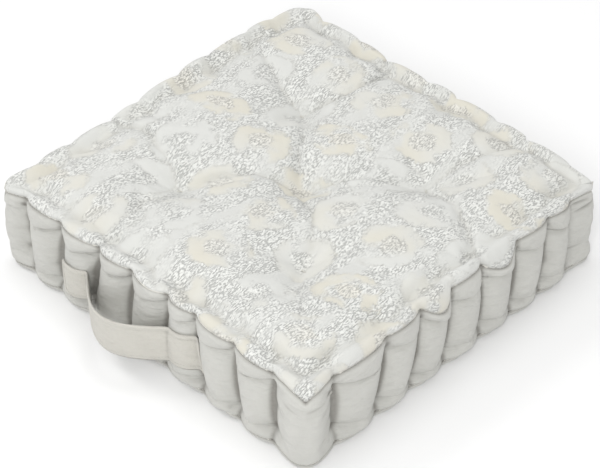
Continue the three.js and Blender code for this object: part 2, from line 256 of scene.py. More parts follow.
# ---- The studio, in metres and watts ----
FLOOR_REACH = 6.0
AIM = (0.0, CENTRE_Y * MM, 0.055)
CAMERA_AZIMUTH, CAMERA_ELEVATION, CAMERA_DISTANCE = 44.55, 40.15, 2.208
LENS, SENSOR = 124, 36
LENS_SHIFT = (-0.0047, -0.025)
WORLD_LIGHT = 0.74
LAMPS = (
    ("Key", (-1.5, -0.9, 1.9), 0.9, 12.0),
    ("Front", (1.25, -1.6, 1.6), 0.8, 21.0),
    ("Overhead", (-0.2, 0.4, 2.6), 1.4, 12.0),
)


def smooth(share):
    share = np.clip(share, 0, 1)
    return share * share * (3 - 2 * share)


def outline(side, along, out):
    """Plan points on the sides, moved outwards, and their normals; along runs from -HALF to HALF."""
    flat = HALF - CORNER
    over = np.maximum(np.abs(along) - flat, 0)
    length = np.hypot(over, CORNER)
    normal = np.stack([np.sign(along) * over / length, -CORNER / length], -1)
    point = np.stack([np.clip(along, -flat, flat), np.full_like(along, -flat)], -1)
    point = point + normal * (CORNER + out)[..., None]
    turn = side * np.pi / 2
    spin = np.array([[np.cos(turn), np.sin(turn)], [-np.sin(turn), np.cos(turn)]])
    return point @ spin, normal @ spin


def at_columns(values, place):
    """Reads values that are given at a side's corner, its columns and its other corner."""
    return np.interp(place / BULGE_CELLS, np.arange(COLUMNS + 2), values)


def along_side(side, rise, place):
    """Where grid places stand along a side, at a share of the rise from the lower to the upper stitches."""
    upper = EVEN_COLUMNS + UPPER_DRIFT[side]
    lower = EVEN_COLUMNS + LOWER_DRIFT[side]
    return at_columns([-HALF, *(lower + (upper - lower) * rise), HALF], place)


def bulge(side, place):
    """Swell (0 at a column, 1 midway or at a corner), nearness to the deep end, and whether it is a pad."""
    cell = np.clip(np.floor(place / BULGE_CELLS), 0, COLUMNS)
    share = place / BULGE_CELLS - cell
    pad = (cell == 0) | (cell == COLUMNS)
    inward = np.where(pad, np.where(cell == 0, share, 1 - share), np.abs(2 * share - 1))
    swell = np.clip(1 - inward**BULGE_SQUARE, 0, 1) ** BULGE_FULL
    deep = share if DEEP_END[side] else 1 - share
    deep = np.where(pad, 0, np.where(share == 0, 1, deep))
    deep = np.where((cell == COLUMNS) & (share == 0), 1, deep)
    return swell, deep, pad & (deep == 0)


def fading(deep):
    """How far a fold has slid down the bulge by the time it fades, from 0 at its stitch."""
    return (1 - deep) * np.clip(deep / FADE_FROM, 0, 1)


def pad_wrinkles(side, place, z):
    """Short level wrinkles across the corner pads."""
    corner = np.minimum(place, CELLS - place) / BULGE_CELLS
    depth = np.zeros_like(z)
    for height, deepest, start in PAD_WRINKLES[side]:
        slant = (z - height - WRINKLE_SLANT * corner * start) / WRINKLE_WIDTH
        length = np.clip(1 - np.abs(corner - start) / WRINKLE_LENGTH, 0, 1)
        depth = depth + deepest * np.exp(-(slant**2)) * length
    return depth


def ring_part(side, kind, step):
    """One side's share of one ring, as (CELLS, 3) points."""
    place = np.arange(CELLS, dtype=float)
    swell, deep, pad = bulge(side, place)
    slide = np.where(pad, 0, fading(deep))
    upper = at_columns([UPPER_CORNER, *UPPER_HEIGHT[side], UPPER_CORNER], place) - FOLD_SLIDE * slide
    lower = at_columns([LOWER_CORNER, *LOWER_HEIGHT[side], LOWER_CORNER], place) - BASE_FOLD_SLIDE * slide
    upper_sink = UPPER_FOLD * deep**UPPER_FADE
    lower_sink = LOWER_FOLD * deep**LOWER_FADE
    puff = at_columns(PUFFED[side], place)
    crest = CROWN - CREST_DROP + CREST_SWELL * swell + CREST_PUFF * puff
    near = np.clip(1 - np.minimum(place, CELLS - place) / BULGE_CELLS, 0, 1)
    corner_pad = np.where(place < CELLS / 2, PAD_BULGE[side], PAD_BULGE[(side + 1) % 4])
    standing = np.where(pad, corner_pad, BULGE)
    full = -VALLEY + standing * swell
    roll_full = -ROLL_VALLEY * VALLEY + ROLL_BULGE * np.minimum(standing, BULGE) * swell
    rise = 1.0
    if kind in ("roll", "welt"):
        cell = np.floor(place / BULGE_CELLS)
        rolled_over = np.isin(cell, ROLLED_OVER[side]) * swell
        seam = SEAM_AT - SEAM_RISE * swell + SEAM_END * near**4 + SEAM_END * rolled_over
        share = seam * step**1.4 if kind == "roll" else seam + (1 - seam) * (1 - (1 - step) ** 1.6)
        z = crest + (upper - crest) * share
        face = roll_full + (full - roll_full) * smooth((share - 0.4) / 0.6)
        bend = np.sqrt(1 - (1 - np.clip(share / 0.45, 0, 1)) ** 2)
        out = -ROLL_INSET + (ROLL_INSET + face) * bend
        out = out - upper_sink * np.clip((share - 0.6) / 0.4, 0, 1) ** 3
        out = out + ROLLED_OUT * rolled_over * share**2 + PUFF_OUT * puff * (1 - share)
    elif kind == "belly":
        step = (1 - math.cos(math.pi * step)) / 2
        rise = 1 - step
        z = upper + (lower - upper) * step
        out = full - upper_sink * (1 - step) ** 12 - lower_sink * step**14
        out = out - BELLY_ROUND * (2 * step - 1) ** 2 * swell
    else:
        rise = 0.0
        foot = -FOOT_SHARE * VALLEY + FOOT_SHARE * np.minimum(standing, BULGE) * swell
        if kind == "lower_roll":
            z = lower + (HEM_HEIGHT - lower) * step
            meet = full - lower_sink - BELLY_ROUND * swell
            out = foot + (meet - foot) * (1 - step) ** 3
        else:
            angle = step * np.pi / 2
            z = np.full(CELLS, HEM_HEIGHT * (1 - np.sin(angle)))
            out = -ROLL_INSET + (ROLL_INSET + foot) * np.cos(angle)
    out = out - np.where(pad, pad_wrinkles(side, place, z), 0)
    points, _ = outline(side, along_side(side, rise, place), out)
    return np.column_stack([points, z])


def case_rings():
    """Closed rings of points from the crest of the upper roll down to the ground."""
    steps = [(kind, k / count) for kind, count in ROW_CELLS.items() for k in range(count)]
    steps.append(("hem", 1.0))
    rings = [np.concatenate([ring_part(side, kind, step) for side in range(4)]) for kind, step in steps]
    return np.array(rings)


def panel_height(x, y, edge, crest, groove, crown, tie_depth, reach, blunt, creases=()):
    """Height of a tufted panel: an edge roll, the hollow behind it, and dimples drawn in by the ties."""
    height = crown + (crest - crown) * np.exp(-(edge - ROLL_INSET) / ROLL_FALL)
    height = height - groove * np.exp(-(((edge - GROOVE_AT) / GROOVE_WIDTH) ** 2))
    for (start_x, start_y), (end_x, end_y), depth, bend in creases:
        run = np.hypot(end_x - start_x, end_y - start_y)
        ahead = np.array([end_x - start_x, end_y - start_y]) / run
        far = ((x - start_x) * ahead[0] + (y - start_y) * ahead[1]) / run
        bow = bend * np.sin(np.pi * np.clip(far, 0, 1))
        aside = (y - start_y) * ahead[0] - (x - start_x) * ahead[1] - bow
        ends = smooth(far / 0.25 + 0.4) * smooth((1 - far) / 0.25 + 0.4)
        height = height - depth * np.exp(-np.abs(aside) / CREASE_WIDTH) * ends
    for number, (tie_x, tie_y) in enumerate(TUFTS):
        away = np.sqrt((x - tie_x) ** 2 + (y - tie_y) ** 2 + blunt**2) - blunt
        angle = np.arctan2(y - tie_y, x - tie_x)
        folds = np.cos(TUFT_FOLDS[number] * angle + number) + 0.6 * np.cos(3 * angle + 2 * number)
        spread = reach * (1 + 0.2 * folds * np.exp(-(((away - 20) / 22) ** 2)))
        height = height - tie_depth * np.exp(-away / spread)
    return height


def panel_grid(ring, top):
    """A square grid of points inside a ring, drawn in evenly towards the middle."""
    line = np.linspace(-1, 1, CELLS + 1)
    a, b = np.meshgrid(line, line, indexing="ij")
    reach = np.maximum(np.maximum(np.abs(a), np.abs(b)), 1e-9)
    side = np.select([-b >= np.abs(a), a >= np.abs(b), b >= np.abs(a)], [0, 1, 2], 3)
    share = np.choose(side, [a, b, -a, -b]) / reach
    place = np.clip((share + 1) / 2 * CELLS, 0, CELLS)
    low = np.floor(place + 1e-6).astype(int)
    part = (place - low)[..., None]
    start = side * CELLS + low
    rim = ring[start % ROUND] * (1 - part) + ring[(start + 1) % ROUND] * part
    x, y = rim[..., 0] * reach, rim[..., 1] * reach
    edge = HALF - reach * (HALF - ROLL_INSET)
    swell = np.zeros_like(share)
    for number in range(4):
        here = side == number
        swell[here] = bulge(number, place[here])[0]
    if top:
        groove = GROOVE - GROOVE_LIFT * swell
        ties = (TIE_DEPTH, TIE_REACH, TIE_BLUNT)
        z = panel_height(x, y, edge, rim[..., 2], groove, CROWN, *ties, TUFT_CREASES)
    else:
        groove = BASE_GROOVE - GROOVE_LIFT * swell
        ties = (BASE_TIE_DEPTH, BASE_TIE_REACH, BASE_TIE_BLUNT)
        z = np.maximum(-panel_height(x, y, edge, 0, groove, 0, *ties) - BASE_FLAT, 0)
    return np.stack([x, y, z], -1)


def grid_numbers(first, ring_start):
    """Vertex numbers of a panel grid whose rim is shared with a ring."""
    numbers = np.zeros((CELLS + 1, CELLS + 1), int)
    numbers[1:-1, 1:-1] = first + np.arange((CELLS - 1) ** 2).reshape(CELLS - 1, CELLS - 1)
    run = np.arange(CELLS + 1)
    rim = ring_start + (np.arange(4)[:, None] * CELLS + run) % ROUND
    numbers[run, 0], numbers[CELLS, run] = rim[0], rim[1]
    numbers[CELLS - run, CELLS], numbers[0, CELLS - run] = rim[2], rim[3]
    return numbers


def case_form():
    """The closed case before it is filled: points, faces, cloth coordinates, panels, and both grids."""
    rings = case_rings()
    top, base = panel_grid(rings[0], True), panel_grid(rings[-1], False)
    inner = [grid[1:-1, 1:-1].reshape(-1, 3) for grid in (top, base)]
    points = np.concatenate([rings.reshape(-1, 3), *inner])
    first_top = rings.shape[0] * ROUND
    top_numbers = grid_numbers(first_top, 0)
    base_numbers = grid_numbers(first_top + (CELLS - 1) ** 2, LAST_RING * ROUND)
    drop = np.linalg.norm(np.diff(rings, axis=0), axis=2)
    down = np.concatenate([np.zeros((1, ROUND)), np.cumsum(drop, 0)])
    belt = rings[UPPER_ROW + 3]
    around = np.concatenate([[0], np.cumsum(np.linalg.norm(np.roll(belt, -1, 0) - belt, axis=1))])
    places, plain = np.arange(CELLS, dtype=float), np.zeros(CELLS)
    normals = np.concatenate([outline(side, along_side(side, 1.0, places), plain)[1] for side in range(4)])
    faces, cloth, panels = [], [], []
    for row in range(LAST_RING):
        panel = 0 if row < UPPER_SEAM else 1 if row < LOWER_SEAM else 2
        for i in range(ROUND):
            corners = ((row + 1, i), (row + 1, i + 1), (row, i + 1), (row, i))
            faces.append([r * ROUND + k % ROUND for r, k in corners])
            panels.append(panel)
            if panel == 1:
                cloth.append([(around[k], -down[r][k % ROUND]) for r, k in corners])
                continue
            rim = 0 if panel == 0 else LAST_RING
            travel = [(k % ROUND, abs(down[r][k % ROUND] - down[rim][k % ROUND])) for r, k in corners]
            cloth.append([tuple(rings[rim][k][:2] + normals[k] * far) for k, far in travel])
    for numbers, order, panel in ((top_numbers, 1, 0), (base_numbers, -1, 2)):
        for i in range(CELLS):
            for j in range(CELLS):
                quad = [numbers[i, j], numbers[i + 1, j], numbers[i + 1, j + 1], numbers[i, j + 1]][::order]
                faces.append(quad)
                cloth.append([tuple(points[q][:2]) for q in quad])
                panels.append(panel)
    return points, np.array(faces), np.array(cloth), np.array(panels), (top_numbers, base_numbers)


def held_points(points, grids):
    """How firmly each vertex of the case is held while it fills."""
    hold = np.zeros(len(points))
    places = np.arange(CELLS)
    for side in range(4):
        deep = bulge(side, places.astype(float))[1]
        hold[UPPER_ROW * ROUND + side * CELLS + places] = FOLD_HOLD * deep
        hold[LOWER_ROW * ROUND + side * CELLS + places] = FOLD_HOLD * deep**2
        for column in range(1, COLUMNS + 1):
            place = side * CELLS + column * BULGE_CELLS
            hold[np.arange(UPPER_ROW, LAST_RING) * ROUND + place] = VALLEY_HOLD
            hold[[UPPER_ROW * ROUND + place, LOWER_ROW * ROUND + place]] = 1
            for numbers, firmness in zip(grids, GROOVE_HOLDS):
                groove = groove_number(numbers, side, column)
                hold[groove] = max(hold[groove], firmness)
    for tie_x, tie_y in TUFTS:
        away = np.hypot(points[:, 0] - tie_x, points[:, 1] - tie_y)
        hold[away < TIE_RADIUS] = 1
    hold[points[:, 2] < RESTING] = 1
    return np.round(hold, 2)


def groove_number(numbers, side, column):
    """The grid vertex in the hollow behind an edge roll, straight in from a stitch column."""
    inward = round((GROOVE_AT - ROLL_INSET) / (HALF - ROLL_INSET) * CELLS / 2)
    reach = CELLS / 2 - inward
    share = (column * BULGE_CELLS / CELLS * 2 - 1) * reach
    a, b = ((share, -reach), (reach, share), (-share, reach), (-reach, -share))[side]
    return numbers[round(a + CELLS / 2), round(b + CELLS / 2)]


def to_frame(points):
    return (np.asarray(points) + [0, CENTRE_Y, 0]) * MM


def mesh_object(name, points, faces, cloth=None):
    mesh = bpy.data.meshes.new(name)
    mesh.from_pydata(np.asarray(points).tolist(), [], np.asarray(faces).tolist())
    if cloth is not None:
        mesh.uv_layers.new(name="cloth").data.foreach_set("uv", np.asarray(cloth, np.float32).ravel())
    mesh.shade_smooth()
    piece = bpy.data.objects.new(name, mesh)
    bpy.context.scene.collection.objects.link(piece)
    return piece


def pulled(items, name, width=1, kind=np.float32):
    """One property of every item in one of a mesh's lists."""
    values = np.empty(len(items) * width, kind)
    items.foreach_get(name, values)
    return values


def read_points(mesh):
    return pulled(mesh.vertices, "co", 3).reshape(-1, 3).astype(float)


def read_normals(mesh):
    return pulled(mesh.vertex_normals, "vector", 3).reshape(-1, 3).astype(float)


def write_points(mesh, points):
    mesh.vertices.foreach_set("co", np.asarray(points, np.float32).ravel())
    mesh.update()


def baked(piece):
    """Turns a piece and its modifiers into a plain mesh."""
    graph = bpy.context.evaluated_depsgraph_get()
    mesh = bpy.data.meshes.new_from_object(piece.evaluated_get(graph))
    piece.modifiers.clear()
    old, piece.data = piece.data, mesh
    bpy.data.meshes.remove(old)
    mesh.name = piece.name
    return piece


def hollows(mesh):
    """How deep in a fold each vertex lies, from 0 to 1, eased over its neighbours."""
    ends = pulled(mesh.edges, "vertices", 2, np.int32)
    first, second = ends.reshape(-1, 2).T
    points, normals = read_points(mesh), read_normals(mesh)
    count = np.bincount(ends, minlength=len(points)).astype(float)

    def around(values):
        total = np.zeros_like(values)
        np.add.at(total, first, values[second])
        np.add.at(total, second, values[first])
        return total / (count[:, None] if values.ndim > 1 else count)

    lean = np.sum((around(points) - points) * normals, axis=1)
    depth = np.clip(lean / FOLD_SHARPNESS, 0, 1)
    for _ in range(FOLD_EASINGS):
        depth = 0.5 * depth + 0.5 * around(depth)
    return depth


def mark_hollows(mesh, depth):
    """Writes how deep each vertex lies for the materials to read."""
    mesh.attributes.new("hollow", "FLOAT", "POINT").data.foreach_set("value", depth.astype(np.float32))


def fill_case(case, hold):
    """Blows the case up with cloth simulation and gives its points; the stitched points stay put."""
    start = read_points(case.data)
    group = case.vertex_groups.new(name="held")
    for weight in np.unique(hold[hold > 0.01]):
        group.add(np.flatnonzero(hold == weight).tolist(), float(weight), "REPLACE")
    cloth = case.modifiers.new("Filling", "CLOTH")
    for setting, value in CLOTH.items():
        setattr(cloth.settings, setting, value)
    cloth.settings.vertex_group_mass = group.name
    cloth.settings.effector_weights.gravity = 0
    cloth.collision_settings.use_collision = False
    cloth.point_cache.frame_start = 1
    cloth.point_cache.frame_end = FRAMES
    scene = bpy.context.scene
    for number in range(1, FRAMES + 1):
        scene.frame_set(number)
    graph = bpy.context.evaluated_depsgraph_get()
    moved = read_points(case.evaluated_get(graph).data)
    case.modifiers.remove(cloth)
    case.vertex_groups.clear()
    scene.frame_set(1)
    moved[:, 2] = np.maximum(moved[:, 2], 0)
    step = moved - start
    length = np.linalg.norm(step, axis=1, keepdims=True)
    return start + step * (np.tanh(length / MOST_SWELL) * MOST_SWELL / np.maximum(length, 1e-9))


# ---- Surfaces that later pieces lie on ----
FORM = {}  # the filled case: "rings" as (ring, place, 3), and "tree" to cast rays at


def remember_form(case):
    """Keeps the filled case's rings and a search tree of its surface for the pieces that are sewn to it."""
    FORM["rings"] = read_points(case.data)[: (LAST_RING + 1) * ROUND].reshape(-1, ROUND, 3)
    FORM["tree"] = BVHTree.FromObject(case, bpy.context.evaluated_depsgraph_get())


def on_surface(origin, direction):
    """Where a ray first meets the case."""
    spot = FORM["tree"].ray_cast(Vector(origin), Vector(direction))[0]
    if spot is None:
        raise RuntimeError("nothing of the case lies along a ray from " + str(tuple(origin)))
    return np.array(spot)


# ---- Materials ----
def math_method(operation, swapped=False):
    """A method of Value that adds one math node."""

    def method(self, *others):
        values = (*others, self) if swapped else (self, *others)
        made = self.maker.node("ShaderNodeMath", {"operation": operation}, dict(enumerate(values)))
        return Value(self.maker, made.outputs[0])

    return method


class Value:
    """A number that varies over a surface: arithmetic on it adds the matching nodes."""

    def __init__(self, maker, socket):
        self.maker = maker
        self.socket = socket

    __add__ = __radd__ = math_method("ADD")
    __sub__ = math_method("SUBTRACT")
    __rsub__ = math_method("SUBTRACT", swapped=True)
    __mul__ = __rmul__ = math_method("MULTIPLY")
    __truediv__ = math_method("DIVIDE")
    __pow__ = math_method("POWER")
    sine = math_method("SINE")
    cosine = math_method("COSINE")
    root = math_method("SQRT")
    whole = math_method("ROUND")
    size = math_method("ABSOLUTE")
    most = math_method("MAXIMUM")
    over = math_method("FLOORED_MODULO")

    def eased(self, start, end):
        """0 at start and 1 at end, smoothly; start may be the larger one."""
        settings = {"interpolation_type": "SMOOTHSTEP"}
        values = {"Value": self, "From Min": start, "From Max": end, "To Min": 0.0, "To Max": 1.0}
        return Value(self.maker, self.maker.node("ShaderNodeMapRange", settings, values).outputs[0])


class Finish:
    """One material and the nodes that make it."""

    def __init__(self, name, roughness, sheen=0.0, specular=0.3):
        self.material = bpy.data.materials.new(name)
        self.material.use_nodes = True
        self.tree = self.material.node_tree
        self.tree.nodes.clear()
        output = self.tree.nodes.new("ShaderNodeOutputMaterial")
        self.shader = self.tree.nodes.new("ShaderNodeBsdfPrincipled")
        self.tree.links.new(self.shader.outputs[0], output.inputs[0])
        self.shader.inputs["Roughness"].default_value = roughness
        self.shader.inputs["Specular IOR Level"].default_value = specular
        self.shader.inputs["Sheen Weight"].default_value = sheen
        self.shader.inputs["Sheen Roughness"].default_value = 0.5

    def node(self, kind, settings=None, values=None):
        """Adds a node: its settings first, then its sockets' numbers or links."""
        made = self.tree.nodes.new(kind)
        for name, setting in (settings or {}).items():
            setattr(made, name, setting)
        for name, value in (values or {}).items():
            self.feed(made.inputs[name], value)
        return made

    def feed(self, socket, value):
        if isinstance(value, Value):
            self.tree.links.new(value.socket, socket)
        elif isinstance(value, bpy.types.NodeSocket):
            self.tree.links.new(value, socket)
        else:
            socket.default_value = value

    def objects(self):
        return self.node("ShaderNodeTexCoord").outputs["Object"]

    def cloth(self):
        return self.node("ShaderNodeUVMap", {"uv_map": "cloth"}).outputs["UV"]

    def hollow(self):
        return Value(self, self.node("ShaderNodeAttribute", {"attribute_name": "hollow"}).outputs["Fac"])

    def axes(self, vector):
        parts = self.node("ShaderNodeSeparateXYZ", values={0: vector}).outputs
        return [Value(self, part) for part in parts]

    def vector(self, x, y, z=0.0):
        return self.node("ShaderNodeCombineXYZ", values={0: x, 1: y, 2: z}).outputs[0]

    def stretched(self, vector, scale, turn=0.0):
        """A pattern's coordinates in repeats for each metre along each axis, turned in their plane."""
        values = {"Vector": vector, "Scale": scale, "Rotation": (0.0, 0.0, turn)}
        return self.node("ShaderNodeMapping", values=values).outputs[0]

    def noise(self, vector, scale, detail=2.0, rough=0.5):
        values = {"Vector": vector, "Scale": scale, "Detail": detail, "Roughness": rough}
        return Value(self, self.node("ShaderNodeTexNoise", values=values).outputs[0])

    def vector_math(self, operation, values):
        return self.node("ShaderNodeVectorMath", {"operation": operation}, values).outputs[0]

    def wandering(self, vector, scale, amount, detail=1.0, read_at=None):
        """A vector shifted by a noise that is centred on nought and read there, or at another vector."""
        values = {"Vector": read_at or vector, "Scale": scale, "Detail": detail}
        offset = self.node("ShaderNodeTexNoise", values=values).outputs[1]
        centred = self.vector_math("SUBTRACT", {0: offset, 1: (0.5, 0.5, 0.5)})
        scaled = self.vector_math("SCALE", {0: centred, "Scale": amount})
        return self.vector_math("ADD", {0: vector, 1: scaled})

    def blend(self, share, low, high):
        made = self.node("ShaderNodeMix", {"data_type": "RGBA"}, {"Factor": share})
        self.feed(made.inputs[6], low)
        self.feed(made.inputs[7], high)
        return made.outputs[2]

    def finish(self, colour, height=None, depth=1.0, roughness=None):
        self.feed(self.shader.inputs["Base Color"], colour)
        if height is not None:
            values = {"Strength": 1.0, "Distance": depth, "Height": height}
            bump = self.node("ShaderNodeBump", values=values)
            self.feed(self.shader.inputs["Normal"], bump.outputs[0])
        if roughness is not None:
            self.feed(self.shader.inputs["Roughness"], roughness)
        return self.material


def shade(colour, amount):
    """A colour made lighter or darker, worked out before it reaches a node."""
    return tuple(min(part * amount, 1.0) for part in colour[:3]) + (1.0,)


def plain_weave(across, along, pitch):
    """Height of a plain weave's threads, -1 to 1, from two cloth coordinates in metres."""
    turn = 2 * math.pi / pitch
    over = (across * turn / 2).sine() * (along * turn / 2).sine()
    warp = (across * turn).cosine()
    weft = (along * turn).cosine()
    shown = over.eased(-0.4, 0.4)
    return warp * shown + weft * (1 - shown)


def canvas_finish(name, colour, pitch=CANVAS_WEAVE, painted_shade_tint=(0.86, 0.8, 0.7, 1.0)):
    """Unbleached canvas: a plain weave with slubs and small creases, with painted shade in its hollows and
    between its threads.
    """
    finish = Finish(name, 0.9, sheen=0.15)
    cloth = finish.cloth()
    u, v, _ = finish.axes(finish.wandering(cloth, 220, 0.5 * MM))
    weave = plain_weave(u, v, pitch)
    slubs = finish.noise(finish.stretched(cloth, (60, 900, 1)), 1.0) * 0.5
    slubs = slubs + finish.noise(finish.stretched(cloth, (900, 60, 1)), 1.0) * 0.5
    creases = finish.noise(finish.stretched(cloth, (1, 0.6, 1)), 55, 3, 0.55)
    mottle = finish.noise(cloth, 24, 4, 0.6)
    body = finish.blend(mottle.eased(0.3, 0.75), shade(colour, 0.95), shade(colour, 1.03))
    body = finish.blend(slubs.eased(0.46, 0.66) * 0.3, body, shade(colour, 0.92))
    # Painted shade: the canvas is drawn darker where its threads dip under each other.
    body = finish.blend((1 - weave.eased(-1.0, 0.3)) * 0.25, body, shade(painted_shade_tint, 0.6))
    # Painted shade: the canvas is drawn darker and warmer where it lies deep in a fold.
    body = finish.blend(finish.hollow().eased(0.07, 0.65) * 0.7, body, shade(painted_shade_tint, 0.22))
    ripples = finish.noise(finish.stretched(finish.wandering(cloth, 30, 8 * MM), (38, 150, 1)), 1.0, 3)
    height = weave * 0.10 + slubs * 0.4 + creases * 1.2 + ripples.eased(0.35, 0.75)
    return finish.finish(body, height, 1.0 * MM, slubs * 0.12 + 0.82)


def jacquard_finish(name, ground, ring, thread):
    """A figured cloth: smooth raised rings of cream yarn on a ground of loose, wandering strands."""
    finish = Finish(name, 0.92, sheen=0.2)
    cloth = finish.cloth()
    bent = finish.wandering(cloth, 14, 26 * MM)
    bent = finish.wandering(bent, 60, 8 * MM, read_at=cloth)
    u, v, _ = finish.axes(bent)
    half = math.sqrt(0.5)
    p, q = (u + v) * half, (v - u) * half
    row = (q / RING_ROWS).whole()
    shift = row.over(2.0) * 0.5
    column = (p / RING_PITCH - shift).whole()
    cell = {"Vector": finish.vector(row, column)}
    pick = finish.node("ShaderNodeTexWhiteNoise", {"noise_dimensions": "2D"}, cell)
    lean = Value(finish, pick.outputs["Value"]) - 0.5
    local_p = p - (column + shift) * RING_PITCH
    local_q = q - row * RING_ROWS
    slant = local_p + local_q * lean * 1.2
    span = ((slant / (RING_RADIUS * 1.1)) ** 2.0 + (local_q / RING_RADIUS) ** 2.0).root()
    span = span * (lean * 0.2 + 1)

    grain = finish.stretched(finish.wandering(cloth, 90, 2 * MM, detail=2), (800, 300, 1), 0.12)
    values = {"Vector": grain, "Scale": 1.0, "Randomness": 0.85}
    loop = finish.node("ShaderNodeTexVoronoi", values=values)
    away = Value(finish, loop.outputs["Distance"])
    tone = finish.axes(loop.outputs["Color"])[0]
    strand = away.eased(0.85, 0.4) * (tone * 0.3 + 0.7)

    edge = span + (tone - 0.5) * 0.12 + (finish.noise(cloth, 130) - 0.5) * 0.35
    broken = finish.noise(cloth, 26).eased(0.40, 0.54)
    band = edge.eased(1.12, 0.94) * edge.eased(0.34, 0.5) * broken
    raised = band * (1 - ((span - 0.70) / 0.42).size() ** 2.0 * 0.7)
    # A darker line along the outer rim of each raised ring.
    dark_ring_rim = edge.eased(0.98, 1.04) * edge.eased(1.16, 1.08) * broken
    centre = edge.eased(0.52, 0.36)
    streaks = finish.noise(finish.stretched(bent, (34, 13, 1), 0.1), 1.0, 3, 0.55).eased(0.34, 0.54)
    loose = (streaks * (1 - band)).most(centre * 0.9)
    cream = (lean + 0.5 + (finish.noise(cloth, 11) - 0.5) * 1.6).eased(0.2, 0.85)

    ribs = (finish.axes(cloth)[1] * (2 * math.pi / RIB_PITCH)).sine() * 0.5 + 0.5
    fine = finish.noise(cloth, 900)
    plain = finish.blend(fine.eased(0.3, 0.7), shade(ground, 0.89), shade(ground, 0.94))
    # Painted light: the tops of the loose strands are drawn lighter than their yarn and the gaps between
    # them darker, as highlight and shade.
    strands = finish.blend(strand.eased(0.0, 0.9), shade(ground, 0.72), shade(ground, 1.22))
    warm_strands = finish.blend(strand.eased(0.0, 0.9), shade(thread, 0.74), shade(thread, 1.22))
    strands = finish.blend(centre * cream, strands, warm_strands)
    colour = finish.blend(loose, plain, strands)
    smooth_ring = finish.blend(cream, shade(ground, 0.95), shade(ring, 0.96))
    colour = finish.blend(band * 0.9, colour, smooth_ring)
    # The outer rim of each raised ring is drawn darker.
    colour = finish.blend(dark_ring_rim * 0.16, colour, shade(ring, 0.6))
    # Painted shade: the top cloth is drawn darker where it lies deep in a fold.
    colour = finish.blend(finish.hollow().eased(0.1, 1.0) * 0.3, colour, shade(ring, 0.6))
    height = loose * strand * 1.2 + raised * 0.7 + (1 - loose) * (ribs * 0.08 + fine * 0.12)
    height = height + finish.noise(cloth, 42, 3) * 2.4
    return finish.finish(colour, height, 1.0 * MM)


def twisted_finish(name, colour, pitch):
    """Twisted yarn: slanting ply lines and a little fuzz."""
    finish = Finish(name, 0.8, sheen=0.1)
    x, y, z = finish.axes(finish.objects())
    ply = ((x + y + z * 0.8) * (2 * math.pi / pitch)).sine() * 0.5 + 0.5
    fuzz = finish.noise(finish.objects(), 1500, 3)
    # Painted shade: the grooves between the plies are drawn darker; the fuzz is a random tone.
    body = finish.blend(ply * 0.6 + fuzz * 0.4, shade(colour, 0.8), shade(colour, 1.05))
    return finish.finish(body, ply * 0.25 + fuzz * 0.2, 0.6 * MM)


def wadding_finish(name, colour):
    """Loose fibre filling."""
    finish = Finish(name, 1.0, sheen=0.3, specular=0.1)
    spot = finish.objects()
    tufts = finish.noise(finish.wandering(spot, 60, 12 * MM), 180, 5, 0.65)
    body = finish.blend(tufts, shade(colour, 0.85), shade(colour, 1.05))
    return finish.finish(body, tufts * 3.0, 1.0 * MM)


def floor_finish(name, colour):
    """A smooth pale floor with a barely visible mottle."""
    finish = Finish(name, 0.75, specular=0.2)
    cloud = finish.noise(finish.objects(), 3.0, 3)
    return finish.finish(finish.blend(cloud, shade(colour, 0.995), shade(colour, 1.0)))


def dress(piece, material):
    piece.data.materials.clear()
    piece.data.materials.append(material)
    return piece


# ---- Node trees for thread and twine ----
def link_all(tree, pairs):
    for start, end in pairs:
        tree.links.new(start, end)


def sewing_tree(name, sizes, material, body):
    """A node tree with named sizes; body turns its curve and size sockets into geometry."""
    tree = bpy.data.node_groups.new(name, "GeometryNodeTree")
    tree.interface.new_socket("Geometry", in_out="INPUT", socket_type="NodeSocketGeometry")
    for label, value in sizes.items():
        socket = tree.interface.new_socket(label, in_out="INPUT", socket_type="NodeSocketFloat")
        socket.subtype = "DISTANCE"
        socket.default_value = value
    tree.interface.new_socket("Geometry", in_out="OUTPUT", socket_type="NodeSocketGeometry")
    source = tree.nodes.new("NodeGroupInput")
    line = tree.nodes.new("GeometryNodeMeshToCurve")
    tree.links.new(source.outputs["Geometry"], line.inputs[0])
    made = body(tree, line.outputs[0], source.outputs)
    real = tree.nodes.new("GeometryNodeRealizeInstances")
    soft = tree.nodes.new("GeometryNodeSetShadeSmooth")
    finish = tree.nodes.new("GeometryNodeSetMaterial")
    finish.inputs["Material"].default_value = material
    result = tree.nodes.new("NodeGroupOutput")
    chain = (real, soft, finish)
    starts = (made, *(node.outputs[0] for node in chain))
    link_all(tree, zip(starts, (node.inputs[0] for node in (*chain, result))))
    return tree


def stitch_body(tree, line, sizes):
    """Short rounded threads, end to end along the line."""
    spots = tree.nodes.new("GeometryNodeCurveToPoints")
    spots.mode = "LENGTH"
    bead = tree.nodes.new("GeometryNodeMeshUVSphere")
    bead.inputs["Segments"].default_value = 6
    bead.inputs["Rings"].default_value = 5
    bead.inputs["Radius"].default_value = 1.0
    half = tree.nodes.new("ShaderNodeMath")
    half.operation = "MULTIPLY"
    half.inputs[1].default_value = 0.5
    scale = tree.nodes.new("ShaderNodeCombineXYZ")
    shape = tree.nodes.new("GeometryNodeTransform")
    place = tree.nodes.new("GeometryNodeInstanceOnPoints")
    pairs = (
        (line, spots.inputs["Curve"]),
        (sizes["Pitch"], spots.inputs["Length"]),
        (sizes["Length"], half.inputs[0]),
        (sizes["Radius"], scale.inputs[0]),
        (sizes["Radius"], scale.inputs[1]),
        (half.outputs[0], scale.inputs[2]),
        (bead.outputs[0], shape.inputs["Geometry"]),
        (scale.outputs[0], shape.inputs["Scale"]),
        (spots.outputs["Points"], place.inputs["Points"]),
        (shape.outputs[0], place.inputs["Instance"]),
        (spots.outputs["Rotation"], place.inputs["Rotation"]),
    )
    link_all(tree, pairs)
    return place.outputs[0]


